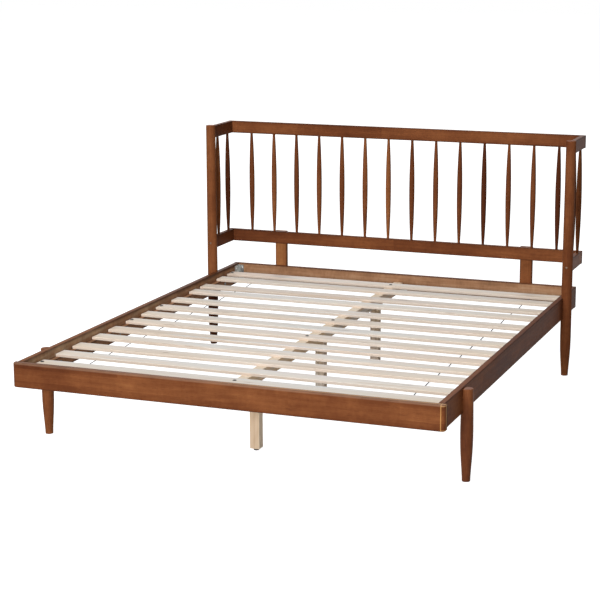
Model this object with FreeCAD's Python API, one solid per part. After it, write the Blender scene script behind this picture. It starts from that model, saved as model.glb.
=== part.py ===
import FreeCAD, Part
import math
import os

os.makedirs("parts", exist_ok=True)

# Platform bed in millimetres. +X is the right side as seen from the foot end, the headboard is at +Y,
# +Z is up, and the origin is on the floor under the middle of the bed.

# Mattress and the recess that takes it
mattress_width = 1600.0
mattress_length = 2000.0
mattress_side_gap = 2.5
mattress_end_gap = 10.0
mattress_recess = 26.0

# Rails round the mattress
rail_top_height = 346.0
rail_height = 94.0
side_rail_thickness = 24.0
head_rail_thickness = 22.0
rail_edge_radius = 3.0
foot_rail_thickness = 28.0
foot_rail_overhang = 8.5
foot_rail_end_radius = 15.0
foot_rail_edge_radius = 4.0

# Turned legs and posts
leg_belly_diameter = 47.0
leg_foot_diameter = 30.0
leg_top_diameter = 43.0
leg_belly_height = 190.0
leg_edge_radius = 3.0
leg_standoff = 12.0
front_leg_setback = 235.0
front_leg_drop = 6.0
post_height = 1028.0
post_setback = 246.0

# Headboard that wraps round to the posts
headboard_rail_thickness = 22.0
top_rail_height = 55.0
post_rise = 4.0
lower_rail_height = 56.5
lower_rail_bottom = 453.5
strut_width = 56.0
strut_thickness = 20.0
strut_inset = 233.5
strut_bottom_drop = 12.0

# Turned spindles
spindle_count = 14
spindle_end_gap = 93.0
spindle_belly_diameter = 24.5
spindle_end_diameter = 11.5
tenon_diameter = 9.0
tenon_length = 14.0
tenon_clearance = 0.1
wing_spindle_count = 2
wing_spindle_start = 74.5
wing_spindle_spacing = 113.0

# Slatted deck
slat_count = 13
slat_width = 68.0
slat_thickness = 11.0
slat_end_clearance = 3.5
slat_edge_radius = 1.5
deck_end_gap = 81.0
ledger_width = 25.0
ledger_height = 42.0
ledger_end_gap = 58.0
tape_inset = 162.5
tape_shift = 14.0
tape_width = 5.0
tape_thickness = 1.2
tape_clearance = 0.2

# Centre support
beam_width = 40.0
beam_height = 40.0
beam_end_clearance = 0.3
hanger_thickness = 2.0
hanger_depth = 30.0
hanger_clearance = 0.3
hanger_flange = 20.0
centre_leg_width = 38.0
centre_leg_front_gap = 315.0
centre_leg_rear_gap = 326.0
centre_leg_edge_radius = 2.0

# Levelling glides under the centre legs
glide_diameter = 22.0
glide_height = 9.0
glide_edge_radius = 3.0
glide_collar_height = 2.5
glide_seat_clearance = 0.3
glide_stud_diameter = 7.4
glide_stud_length = 32.0
insert_diameter = 11.0
insert_bore_diameter = 8.0
insert_length = 18.0
insert_flange_diameter = 19.0
insert_flange_thickness = 1.5
stud_end_clearance = 2.0

# Steel corner brackets
bracket_thickness = 3.0
bracket_height = 70.0
bracket_side_arm = 50.0
bracket_cross_arm = 26.0
rear_bracket_top_drop = 7.0
front_bracket_top_drop = 19.0
bracket_bolt_inset = 14.0
bracket_bolt_diameter = 6.0
bracket_bolt_length = 17.0
bracket_head_diameter = 12.0
bracket_head_height = 3.0

# Bolts of the legs, posts, wings and centre legs
bolt_diameter = 8.0
bolt_hole_clearance = 0.2
bolt_grip_in_leg = 24.0
bolt_head_diameter = 13.0
bolt_head_height = 4.0
bolt_spacing = 16.0
bolt_pair_drop = 5.0
wing_bolt_grip = 42.0
wing_bolt_head_diameter = 11.0
wing_bolt_head_height = 5.0
hanger_bolt_grip = 24.0

# Wood screws
screw_diameter = 4.0
screw_head_diameter = 8.4
screw_head_height = 3.6
screw_hole_clearance = 0.1
slat_screw_length = 28.0
slat_screw_inset = 15.0
ledger_screw_length = 42.0
ledger_screw_count = 4
ledger_screw_inset = 120.0
strut_screw_length = 38.0
hanger_screw_length = 17.0

# Slats that are screwed down, counted from the headboard, then how far each slat sits from an even
# spacing, and how far its right end sits behind its middle, both as shares of that spacing
screwed_slats = (1, 6, 8, 13)
slat_shift_shares = (0.0, 0.16, -0.04, 0.13, -0.07, -0.095, -0.11, -0.10, -0.10, -0.055, -0.045, -0.02, 0.01)
slat_skew_shares = (0.0, -0.03, 0.01, -0.03, 0.0, 0.02, -0.06, -0.09, -0.04, -0.07, 0.03, -0.06, 0.03)

# Outline of a leg from the floor to its widest part: share of the height, share of the swelling
leg_taper_shares = ((0.13, 0.15), (0.33, 0.46), (0.56, 0.79), (0.80, 0.96), (1.0, 1.0))
strut_screw_shares = (0.25, 0.75)

# Shares of the piece that carries them
post_seat_share = 0.72
glide_collar_share = 0.62
bolt_crown_share = 0.4
bracket_bolt_share = 0.35
hanger_top_share = 0.85

# Places worked out from the sizes
deck_width = mattress_width + 2 * mattress_side_gap
deck_length = mattress_length + 2 * mattress_end_gap
overall_length = foot_rail_thickness + deck_length + head_rail_thickness + strut_thickness
foot_front = -overall_length / 2
deck_front = foot_front + foot_rail_thickness
deck_rear = deck_front + deck_length
head_rear = deck_rear + head_rail_thickness
rail_inner = deck_width / 2
rail_outer = rail_inner + side_rail_thickness
rail_bottom = rail_top_height - rail_height
leg_axis = rail_outer + leg_standoff
front_leg_y = deck_front + front_leg_setback
post_y = deck_rear - post_setback + head_rail_thickness
slat_top = rail_top_height - mattress_recess
slat_bottom = slat_top - slat_thickness
ledger_bottom = slat_bottom - ledger_height
ledger_inner = rail_inner - ledger_width
beam_bottom = slat_bottom - beam_height
top_rail_top = post_height - post_rise
top_rail_bottom = top_rail_top - top_rail_height
lower_rail_top = lower_rail_bottom + lower_rail_height
back_front = head_rear - headboard_rail_thickness
back_axis = head_rear - headboard_rail_thickness / 2
wing_inner = leg_axis - headboard_rail_thickness / 2
wing_outer = leg_axis + headboard_rail_thickness / 2
ledger_middle_z = slat_bottom - ledger_height / 2
leg_bolt_z = ledger_middle_z - bolt_pair_drop
slat_half = rail_inner - slat_end_clearance
slat_pitch = (deck_length - 2 * deck_end_gap - slat_width) / (slat_count - 1)
spindle_pitch = 2 * (wing_inner - spindle_end_gap) / (spindle_count - 1)
strut_offset = wing_inner - strut_inset
tape_offset = rail_inner - tape_inset

sides = {"left": -1, "right": 1}
up = FreeCAD.Vector(0, 0, 1)
nodes = {}


def vec(x, y, z):
    return FreeCAD.Vector(x, y, z)


def block(x_range, y_range, z_range):
    """A square-edged board between two places on each axis, given in any order."""
    low = [min(pair) for pair in (x_range, y_range, z_range)]
    size = [abs(pair[1] - pair[0]) for pair in (x_range, y_range, z_range)]
    return Part.makeBox(size[0], size[1], size[2], vec(low[0], low[1], low[2]))


def long_edges(shape, axis):
    """The edges of a board that run along one axis."""
    found = []
    for edge in shape.Edges:
        run = edge.Vertexes[-1].Point - edge.Vertexes[0].Point
        if abs((run[0], run[1], run[2])[axis]) > edge.Length / 2:
            found.append(edge)
    return found


def board(x_range, y_range, z_range, axis, radius):
    """A board whose edges along one axis are eased by a radius."""
    shape = block(x_range, y_range, z_range)
    return shape.makeFillet(radius, long_edges(shape, axis))


def rod(start, direction, radius, length):
    return Part.makeCylinder(radius, length, start, direction)


def turned(edges):
    """Revolves an outline, drawn in the XZ plane from axis to axis, about the Z axis."""
    face = Part.Face(Part.Wire(edges))
    return face.revolve(vec(0, 0, 0), up, 360)


def line(first, second):
    return Part.LineSegment(vec(first[0], 0, first[1]), vec(second[0], 0, second[1])).toShape()


def arc(first, middle, last):
    return Part.Arc(vec(first[0], 0, first[1]), vec(middle[0], 0, middle[1]), vec(last[0], 0, last[1])).toShape()


def turned_leg(height):
    """A round leg that swells from a slim foot and tapers slightly to an eased top."""
    foot = leg_foot_diameter / 2
    swell = leg_belly_diameter / 2 - foot
    top = leg_top_diameter / 2
    points = [vec(foot, 0, 0)]
    for height_share, swell_share in leg_taper_shares:
        points.append(vec(foot + swell * swell_share, 0, leg_belly_height * height_share))
    taper = Part.BSplineCurve()
    taper.interpolate(points)
    shoulder = height - leg_edge_radius
    inset = leg_edge_radius * (1 - math.sqrt(0.5))
    edges = [
        line((0, 0), (foot, 0)),
        taper.toShape(),
        line((foot + swell, leg_belly_height), (top, shoulder)),
        arc((top, shoulder), (top - inset, height - inset), (top - leg_edge_radius, height)),
        line((top - leg_edge_radius, height), (0, height)),
        line((0, height), (0, 0)),
    ]
    return turned(edges)


def turned_spindle(length):
    """A spindle that is fattest halfway up, with a round tenon at each end."""
    tenon = tenon_diameter / 2
    end = spindle_end_diameter / 2
    belly = spindle_belly_diameter / 2
    edges = [
        line((0, -tenon_length), (tenon, -tenon_length)),
        line((tenon, -tenon_length), (tenon, 0)),
        line((tenon, 0), (end, 0)),
        arc((end, 0), (belly, length / 2), (end, length)),
        line((end, length), (tenon, length)),
        line((tenon, length), (tenon, length + tenon_length)),
        line((tenon, length + tenon_length), (0, length + tenon_length)),
        line((0, length + tenon_length), (0, -tenon_length)),
    ]
    return turned(edges)


def bolt(seat, direction, shank_radius, shank_length, head_radius, head_height):
    """A bolt whose head stands on its seat and whose shank runs along a direction."""
    head = rod(seat, direction * -1, head_radius, head_height)
    head_top = seat - direction * head_height
    rim = [edge for edge in head.Edges if abs((edge.CenterOfMass - head_top).Length) < head_height / 2]
    head = head.makeFillet(head_height * bolt_crown_share, [edge for edge in rim if edge.Closed])
    return head.fuse(rod(seat, direction, shank_radius, shank_length)).removeSplitter()


def wood_screw(seat, direction, length, grow=0.0):
    """A countersunk screw, flush with its seat, or the hole that takes it when grown."""
    head = Part.makeCone(screw_head_diameter / 2 + grow, screw_diameter / 2 + grow, screw_head_height,
                         seat, direction)
    return head.fuse(rod(seat, direction, screw_diameter / 2 + grow, length + grow)).removeSplitter()


def bore(shape, tools):
    """Cuts every tool whose box meets the shape."""
    near = [tool for tool in tools if tool.BoundBox.intersect(shape.BoundBox)]
    return shape.cut(Part.makeCompound(near)) if near else shape


# Where the fasteners go: each list holds (place, direction) pairs
leg_bolt_places = []
for side in sides.values():
    for leg_y in (front_leg_y, post_y):
        for step in (-1, 1):
            place = vec(side * ledger_inner, leg_y, leg_bolt_z + step * bolt_spacing / 2)
            leg_bolt_places.append((place, vec(side, 0, 0)))

wing_bolt_places = []
wing_bolt_z = (lower_rail_bottom + lower_rail_top) / 2
top_bolt_z = (top_rail_bottom + top_rail_top) / 2
post_front = post_y - leg_top_diameter / 2 + wing_bolt_head_height
for side in sides.values():
    wing_bolt_places.append((vec(side * leg_axis, post_front, wing_bolt_z), vec(0, 1, 0)))
    for bolt_z in (wing_bolt_z, top_bolt_z):
        seat_y = head_rear - wing_bolt_head_height
        wing_bolt_places.append((vec(side * leg_axis, seat_y, bolt_z), vec(0, -1, 0)))

front_centre_y = deck_front + centre_leg_front_gap
rear_centre_y = deck_rear - centre_leg_rear_gap
centre_leg_places = [front_centre_y, (front_centre_y + rear_centre_y) / 2, rear_centre_y]

slat_places = []
slat_slopes = []
for index in range(slat_count):
    even = deck_rear - deck_end_gap - slat_width / 2 - index * slat_pitch
    slat_places.append(even + slat_shift_shares[index] * slat_pitch)
    slat_slopes.append(slat_skew_shares[index] * slat_pitch / slat_half)

slat_screw_places = []
for number in screwed_slats:
    for screw_x in (-(rail_inner - slat_screw_inset), 0, rail_inner - slat_screw_inset):
        screw_y = slat_places[number - 1] + slat_slopes[number - 1] * screw_x
        slat_screw_places.append((vec(screw_x, screw_y, slat_top), vec(0, 0, -1)))

ledger_screw_places = []
ledger_screw_run = deck_length - 2 * ledger_end_gap - 2 * ledger_screw_inset
for side in sides.values():
    for index in range(ledger_screw_count):
        screw_y = deck_front + ledger_end_gap + ledger_screw_inset
        screw_y += index * ledger_screw_run / (ledger_screw_count - 1)
        ledger_screw_places.append((vec(side * ledger_inner, screw_y, ledger_middle_z), vec(side, 0, 0)))

strut_screw_places = []
for side in sides.values():
    for share in strut_screw_shares:
        screw_x = side * strut_offset - strut_width / 2 + share * strut_width
        for screw_z in (rail_top_height - rail_height / 2, lower_rail_bottom + lower_rail_height / 2):
            strut_screw_places.append((vec(screw_x, head_rear + strut_thickness, screw_z), vec(0, -1, 0)))

hanger_screw_places = []
hanger_screw_x = beam_width / 2 + hanger_thickness + hanger_flange / 2
for side in sides.values():
    for face_y, inwards in ((deck_front, 1), (deck_rear, -1)):
        seat = vec(side * hanger_screw_x, face_y + inwards * hanger_thickness, beam_bottom + beam_height / 2)
        hanger_screw_places.append((seat, vec(0, -inwards, 0)))

bracket_bolt_places = []
bracket_ends = ((deck_front, 1, rail_top_height - front_bracket_top_drop),
                (deck_rear, -1, rail_top_height - rear_bracket_top_drop))
for side in sides.values():
    for face_y, inwards, bracket_top in bracket_ends:
        for bolt_z in (bracket_top - bracket_bolt_inset, bracket_top - bracket_height + bracket_bolt_inset):
            side_seat = vec(side * (rail_inner - bracket_thickness),
                            face_y + inwards * (bracket_side_arm - bracket_bolt_inset), bolt_z)
            cross_seat = vec(side * (rail_inner - bracket_cross_arm * (1 - bracket_bolt_share)),
                             face_y + inwards * bracket_thickness, bolt_z)
            bracket_bolt_places.append((side_seat, vec(side, 0, 0)))
            bracket_bolt_places.append((cross_seat, vec(0, -inwards, 0)))

# The holes that the fasteners need, made once and cut from whatever they reach
hole_grow = bolt_hole_clearance / 2
leg_bolt_length = ledger_width + side_rail_thickness + bolt_grip_in_leg
back_bolt_length = headboard_rail_thickness + wing_bolt_grip - wing_bolt_head_height
holes = []
for place, direction in leg_bolt_places:
    holes.append(rod(place, direction, bolt_diameter / 2 + hole_grow, leg_bolt_length + bolt_hole_clearance))
for place, direction in wing_bolt_places:
    holes.append(rod(place, direction, bolt_diameter / 2 + hole_grow, back_bolt_length + bolt_hole_clearance))
    holes.append(rod(place, direction * -1, wing_bolt_head_diameter / 2 + hole_grow, leg_belly_diameter))
for place, direction in bracket_bolt_places:
    length = bracket_bolt_length + bolt_hole_clearance
    holes.append(rod(place, direction, bracket_bolt_diameter / 2 + hole_grow, length))
for leg_y in centre_leg_places:
    start = vec(0, leg_y, beam_bottom - hanger_bolt_grip - bolt_hole_clearance)
    holes.append(rod(start, up, bolt_diameter / 2 + hole_grow, 2 * (hanger_bolt_grip + bolt_hole_clearance)))
screw_sets = [
    (slat_screw_places, slat_screw_length),
    (ledger_screw_places, ledger_screw_length),
    (strut_screw_places, strut_screw_length),
    (hanger_screw_places, hanger_screw_length),
]
for places, length in screw_sets:
    for place, direction in places:
        holes.append(wood_screw(place, direction, length, screw_hole_clearance))


def make_rails():
    """The foot rail laps the side rails, which run back to the head rail."""
    foot_half = rail_outer + foot_rail_overhang
    foot = block((-foot_half, foot_half), (foot_front, deck_front), (rail_bottom, rail_top_height))
    ends = [edge for edge in long_edges(foot, 2) if edge.CenterOfMass.y < foot_front + foot_rail_edge_radius]
    foot = foot.makeFillet(foot_rail_end_radius, ends)
    flat = [face for face in foot.Faces if abs(face.normalAt(0, 0).z) > 0.99]
    foot = foot.makeFillet(foot_rail_edge_radius, [edge for face in flat for edge in face.Edges])
    nodes["foot_rail"] = bore(foot, holes)
    height = (rail_bottom, rail_top_height)
    for name, side in sides.items():
        rail = board((side * rail_inner, side * rail_outer), (deck_front, deck_rear), height, 1, rail_edge_radius)
        nodes[name + "_side_rail"] = bore(rail, holes)
    head = board((-rail_outer, rail_outer), (deck_rear, head_rear), height, 0, rail_edge_radius)
    nodes["head_rail"] = bore(head, holes)


def make_legs():
    """Round legs, notched where the side rails pass and housed where the wing rails end."""
    seat_y = post_y + leg_top_diameter / 2 * post_seat_share
    for name, side in sides.items():
        for leg_name, leg_y, height in (("front_leg", front_leg_y, rail_top_height - front_leg_drop),
                                        ("rear_post", post_y, post_height)):
            leg = turned_leg(height)
            leg.translate(vec(side * leg_axis, leg_y, 0))
            reach = (leg_y - leg_belly_diameter, leg_y + leg_belly_diameter)
            inner = leg_axis - leg_belly_diameter
            cuts = [block((side * inner, side * rail_outer), reach, (rail_bottom, rail_top_height))]
            if leg_name == "rear_post":
                for low, high in ((top_rail_bottom, top_rail_top), (lower_rail_bottom, lower_rail_top)):
                    cuts.append(block((side * wing_inner, side * wing_outer), (seat_y, reach[1]), (low, high)))
            leg = leg.cut(Part.makeCompound(cuts))
            nodes[name + "_" + leg_name] = bore(leg, holes)


def spindle_sockets(places, low, high):
    """Round sockets for the spindle tenons between two heights."""
    radius = tenon_diameter / 2 + tenon_clearance
    length = high - low
    return [rod(vec(x, y, low), up, radius, length) for x, y in places]


def make_headboard():
    """Two rails and two struts behind, and two short rails on each wing."""
    seat_y = post_y + leg_top_diameter / 2 * post_seat_share
    socket_low = lower_rail_top - tenon_length - tenon_clearance
    socket_high = top_rail_bottom + tenon_length + tenon_clearance
    sockets = spindle_sockets(back_spindles + wing_spindles, socket_low, socket_high)
    for rail_name, low, high in (("top_rail", top_rail_bottom, top_rail_top),
                                 ("lower_rail", lower_rail_bottom, lower_rail_top)):
        rail = board((-wing_outer, wing_outer), (back_front, head_rear), (low, high), 0, rail_edge_radius)
        nodes["headboard_" + rail_name] = bore(bore(rail, sockets), holes)
        for name, side in sides.items():
            rail = board((side * wing_inner, side * wing_outer), (seat_y, back_front), (low, high), 1,
                         rail_edge_radius)
            nodes[name + "_wing_" + rail_name] = bore(bore(rail, sockets), holes)
    for name, side in sides.items():
        middle = side * strut_offset
        strut = board((middle - strut_width / 2, middle + strut_width / 2),
                      (head_rear, head_rear + strut_thickness),
                      (rail_bottom + strut_bottom_drop, lower_rail_top), 2, rail_edge_radius)
        nodes[name + "_headboard_strut"] = bore(strut, holes)


def make_spindles():
    """Fourteen spindles across the back and two in each wing."""
    length = top_rail_bottom - lower_rail_top
    for index, (x, y) in enumerate(back_spindles):
        spindle = turned_spindle(length)
        spindle.translate(vec(x, y, lower_rail_top))
        nodes["spindle_%02d" % (index + 1)] = spindle
    for name, side in sides.items():
        group = []
        for x, y in wing_spindles:
            if x * side > 0:
                spindle = turned_spindle(length)
                spindle.translate(vec(x, y, lower_rail_top))
                group.append(spindle)
        nodes[name + "_wing_spindles"] = Part.makeCompound(group)


def make_deck():
    """Slats from the headboard to the foot, their ledgers and the tapes under them."""
    for index, slat_y in enumerate(slat_places):
        slat = board((-slat_half, slat_half), (slat_y - slat_width / 2, slat_y + slat_width / 2),
                     (slat_bottom, slat_top), 0, slat_edge_radius)
        slat.rotate(vec(0, slat_y, 0), up, math.degrees(math.atan(slat_slopes[index])))
        nodes["slat_%02d" % (index + 1)] = bore(slat, holes)
    for name, side in sides.items():
        ledger = block((side * ledger_inner, side * rail_inner),
                       (deck_front + ledger_end_gap, deck_rear - ledger_end_gap), (ledger_bottom, slat_bottom))
        nodes[name + "_ledger"] = bore(ledger, holes)
    tape_top = slat_bottom - tape_clearance
    tape_ends = (slat_places[-1] - slat_width / 4, slat_places[0] + slat_width / 4)
    tapes = []
    for side in sides.values():
        middle = side * tape_offset + tape_shift
        tapes.append(block((middle - tape_width / 2, middle + tape_width / 2), tape_ends,
                           (tape_top - tape_thickness, tape_top)))
    nodes["slat_tapes"] = Part.makeCompound(tapes)


def make_centre_support():
    """A beam in steel hangers, three square legs and a screwed glide under each."""
    beam_ends = (deck_front + hanger_thickness + beam_end_clearance,
                 deck_rear - hanger_thickness - beam_end_clearance)
    beam = block((-beam_width / 2, beam_width / 2), beam_ends, (beam_bottom, slat_bottom))
    nodes["centre_beam"] = bore(beam, holes)
    hangers = []
    inner = beam_width / 2 + hanger_clearance
    outer = inner + hanger_thickness
    for face_y, inwards in ((deck_front, 1), (deck_rear, -1)):
        top = beam_bottom + beam_height * hanger_top_share
        tray = block((-outer, outer), (face_y, face_y + inwards * hanger_depth), (beam_bottom - hanger_thickness, top))
        hollow = block((-inner, inner), (face_y + inwards * hanger_thickness, face_y + inwards * 2 * hanger_depth),
                       (beam_bottom, slat_top))
        wings = block((-outer - hanger_flange, outer + hanger_flange), (face_y, face_y + inwards * hanger_thickness),
                      (beam_bottom - hanger_thickness, top))
        hangers.append(bore(tray.fuse(wings).cut(hollow).removeSplitter(), holes))
    nodes["beam_hangers"] = Part.makeCompound(hangers)
    half = centre_leg_width / 2
    inserts = []
    for name, leg_y in zip(("front", "middle", "rear"), centre_leg_places):
        leg = board((-half, half), (leg_y - half, leg_y + half), (glide_height, beam_bottom), 2,
                    centre_leg_edge_radius)
        socket_length = insert_flange_thickness + glide_stud_length + stud_end_clearance
        socket = rod(vec(0, leg_y, glide_height), up, insert_bore_diameter / 2, socket_length)
        sleeve = rod(vec(0, leg_y, glide_height), up, insert_diameter / 2, insert_length)
        flange = rod(vec(0, leg_y, glide_height), up, insert_flange_diameter / 2, insert_flange_thickness)
        insert = sleeve.fuse(flange).removeSplitter()
        nodes[name + "_centre_leg"] = bore(leg.cut(insert).cut(socket), holes)
        inserts.append(insert.cut(socket))
        nodes[name + "_glide"] = levelling_glide(leg_y)
    nodes["glide_inserts"] = Part.makeCompound(inserts)


def levelling_glide(leg_y):
    """A round foot with a rolled edge, a collar and a stud that screws up into the leg."""
    radius = glide_diameter / 2
    collar = radius * glide_collar_share
    stud = glide_stud_diameter / 2
    base_top = glide_height - glide_collar_height
    curve = glide_edge_radius * (1 - math.sqrt(0.5))
    top = glide_height - glide_seat_clearance
    edges = [
        line((0, 0), (radius - glide_edge_radius, 0)),
        arc((radius - glide_edge_radius, 0), (radius - curve, curve), (radius, glide_edge_radius)),
        line((radius, glide_edge_radius), (radius, base_top)),
        line((radius, base_top), (collar, base_top)),
        line((collar, base_top), (collar, top)),
        line((collar, top), (stud, top)),
        line((stud, top), (stud, glide_height + glide_stud_length)),
        line((stud, glide_height + glide_stud_length), (0, glide_height + glide_stud_length)),
        line((0, glide_height + glide_stud_length), (0, 0)),
    ]
    glide = turned(edges)
    glide.translate(vec(0, leg_y, 0))
    return glide


def make_hardware():
    """Corner brackets, bolts and screws."""
    brackets = []
    for side in sides.values():
        for face_y, inwards, bracket_top in bracket_ends:
            height = (bracket_top - bracket_height, bracket_top)
            arm = block((side * (rail_inner - bracket_thickness), side * rail_inner),
                        (face_y, face_y + inwards * bracket_side_arm), height)
            cross = block((side * (rail_inner - bracket_cross_arm), side * rail_inner),
                          (face_y, face_y + inwards * bracket_thickness), height)
            brackets.append(bore(arm.fuse(cross).removeSplitter(), holes))
    nodes["corner_brackets"] = Part.makeCompound(brackets)
    bolts = []
    for place, direction in leg_bolt_places:
        bolts.append(bolt(place, direction, bolt_diameter / 2, leg_bolt_length, bolt_head_diameter / 2,
                          bolt_head_height))
    for place, direction in wing_bolt_places:
        bolts.append(bolt(place, direction, bolt_diameter / 2, back_bolt_length, wing_bolt_head_diameter / 2,
                          wing_bolt_head_height))
    for place, direction in bracket_bolt_places:
        bolts.append(bolt(place, direction, bracket_bolt_diameter / 2, bracket_bolt_length,
                          bracket_head_diameter / 2, bracket_head_height))
    for leg_y in centre_leg_places:
        bolts.append(rod(vec(0, leg_y, beam_bottom - hanger_bolt_grip), up, bolt_diameter / 2, 2 * hanger_bolt_grip))
    nodes["frame_bolts"] = Part.makeCompound(bolts)
    screws = []
    for places, length in screw_sets:
        for place, direction in places:
            screws.append(wood_screw(place, direction, length))
    nodes["wood_screws"] = Part.makeCompound(screws)


back_spindles = [((index - (spindle_count - 1) / 2) * spindle_pitch, back_axis) for index in range(spindle_count)]
wing_spindles = []
for side in sides.values():
    for index in range(wing_spindle_count):
        wing_spindles.append((side * leg_axis, post_y + wing_spindle_start + index * wing_spindle_spacing))

make_rails()
make_legs()
make_headboard()
make_spindles()
make_deck()
make_centre_support()
make_hardware()

for name, shape in nodes.items():
    if not shape.isValid():
        print("not valid:", name)
    shape.exportStep("parts/" + name + ".step")

whole = Part.makeCompound(list(nodes.values())).BoundBox
print(len(nodes), "nodes,", sum(len(shape.Solids) for shape in nodes.values()), "solids")
print("size %.1f x %.1f x %.1f" % (whole.XLength, whole.YLength, whole.ZLength))
print("low corner %.2f %.2f %.2f" % (whole.XMin, whole.YMin, whole.ZMin))
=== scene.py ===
import math

import bpy
import numpy as np
from mathutils import Matrix, Vector


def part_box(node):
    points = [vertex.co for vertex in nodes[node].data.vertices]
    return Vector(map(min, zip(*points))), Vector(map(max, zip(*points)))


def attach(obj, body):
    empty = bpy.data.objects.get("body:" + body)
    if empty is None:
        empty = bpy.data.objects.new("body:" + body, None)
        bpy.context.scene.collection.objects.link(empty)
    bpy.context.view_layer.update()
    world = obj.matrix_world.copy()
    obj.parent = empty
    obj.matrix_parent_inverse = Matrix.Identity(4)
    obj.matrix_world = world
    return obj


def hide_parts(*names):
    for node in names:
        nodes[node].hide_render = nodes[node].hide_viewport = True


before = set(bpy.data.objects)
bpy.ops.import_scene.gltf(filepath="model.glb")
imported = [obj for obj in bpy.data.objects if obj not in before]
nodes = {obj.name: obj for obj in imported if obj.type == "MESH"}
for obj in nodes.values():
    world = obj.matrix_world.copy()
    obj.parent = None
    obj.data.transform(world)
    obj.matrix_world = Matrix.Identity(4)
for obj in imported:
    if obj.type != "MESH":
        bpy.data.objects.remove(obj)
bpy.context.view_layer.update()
print("bed frame loaded:", len(nodes), "nodes")


class Wire:  # one socket of a finish, whose operators add Math nodes
    def __init__(self, finish, socket):
        self.finish = finish
        self.socket = socket

    def calc(self, operation, *terms):
        return self.finish.node("ShaderNodeMath", {"operation": operation}, dict(enumerate(terms)))

    def __add__(self, other):
        return self.calc("ADD", self, other)

    def __sub__(self, other):
        return self.calc("SUBTRACT", self, other)

    def __rsub__(self, other):
        return self.calc("SUBTRACT", other, self)

    def __mul__(self, other):
        return self.calc("MULTIPLY", self, other)

    def __truediv__(self, other):
        return self.calc("DIVIDE", self, other)

    def __pow__(self, other):
        return self.calc("POWER", self, other)

    __radd__ = __add__
    __rmul__ = __mul__

    def low(self, other):
        return self.calc("MINIMUM", self, other)

    def high(self, other):
        return self.calc("MAXIMUM", self, other)

    def size(self):
        return self.calc("ABSOLUTE", self)

    def floor(self):
        return self.calc("FLOOR", self)

    def sine(self):
        return self.calc("SINE", self)

    def swing(self, weight):  # makes a pattern that runs from 0 to 1 swing about nothing, and weighs it
        return (self - 0.5) * weight


class Finish:  # a material, or the world, while its nodes are being put together
    def __init__(self, name, home=None):
        self.home = home or bpy.data.materials.new(name)
        self.home.use_nodes = True
        self.tree = self.home.node_tree
        self.tree.nodes.clear()

    def node(self, kind, settings, sockets, output=0):
        made = self.tree.nodes.new(kind)
        for key, value in settings.items():
            if key == "stops":
                while len(made.color_ramp.elements) < len(value):
                    made.color_ramp.elements.new(0.5)
                for element, (position, colour) in zip(made.color_ramp.elements, value):
                    element.position = position
                    element.color = (*colour, 1)
            else:
                setattr(made, key, value)
        for key, value in sockets.items():
            if isinstance(value, Wire):
                self.tree.links.new(value.socket, made.inputs[key])
            else:
                made.inputs[key].default_value = value
        if len(made.outputs) == 0:  # an output node ends the work
            return self.home
        return Wire(self, made.outputs[output])

    def place(self):
        return self.node("ShaderNodeTexCoord", {}, {}, "Object")

    def axes(self, place):
        return [self.node("ShaderNodeSeparateXYZ", {}, {0: place}, index) for index in range(3)]

    def point(self, x, y, z):
        return self.node("ShaderNodeCombineXYZ", {}, {0: x, 1: y, 2: z})

    def noise(self, place, scale, detail=2.0, rough=0.5, stretch=(1, 1, 1), shift=(0, 0, 0)):
        spot = self.node("ShaderNodeMapping", {}, {"Vector": place, "Location": shift, "Scale": stretch})
        return self.node("ShaderNodeTexNoise", {}, {"Vector": spot, "Scale": scale, "Detail": detail,
                                                    "Roughness": rough}, "Fac")

    def chance(self, x, y):
        return self.node("ShaderNodeTexWhiteNoise", {"noise_dimensions": "2D"}, {"Vector": self.point(x, y, 0)}, 0)

    def fade(self, value, start, end):
        return self.node("ShaderNodeMapRange", {"interpolation_type": "SMOOTHSTEP"},
                         {"Value": value, "From Min": start, "From Max": end})

    def ramp(self, factor, stops):
        return self.node("ShaderNodeValToRGB", {"stops": stops}, {"Fac": factor}, "Color")

    def mix(self, factor, first, second):
        colours = {6: first, 7: second}
        for key, value in colours.items():
            if not isinstance(value, Wire):
                colours[key] = (*value, 1)
        return self.node("ShaderNodeMix", {"data_type": "RGBA"}, {0: factor, **colours}, 2)

    def bump(self, height, distance, strength):
        return self.node("ShaderNodeBump", {}, {"Height": height, "Distance": distance, "Strength": strength})

    def close(self, sockets):
        surface = self.node("ShaderNodeBsdfPrincipled", {}, sockets)
        return self.node("ShaderNodeOutputMaterial", {}, {"Surface": surface})


def weighed(patterns, weights):  # adds up patterns that swing about nothing, each times its weight
    return sum(patterns[key].swing(weight) for key, weight in weights.items())


goldenStep = 0.618  # keeps the figure of one strip or slat from following that of the last
rimFade = 1.6  # widths over which a rim fades out


def rim(finish, axes, node, width, rag):
    # how near a board's surface is to one of its edges: of the three depths below the box, the two
    # smallest are added up, and the sum fades from 1 at the edge to 0 at rimFade times the width
    low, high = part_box(node)
    depths = [(axis - low[index]).low(high[index] - axis) for index, axis in enumerate(axes)]
    pairs = (depths[0] + depths[1]).low(depths[1] + depths[2]).low(depths[0] + depths[2])
    return 1 - finish.fade(pairs + rag * width, 0.0, width * rimFade)


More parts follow.
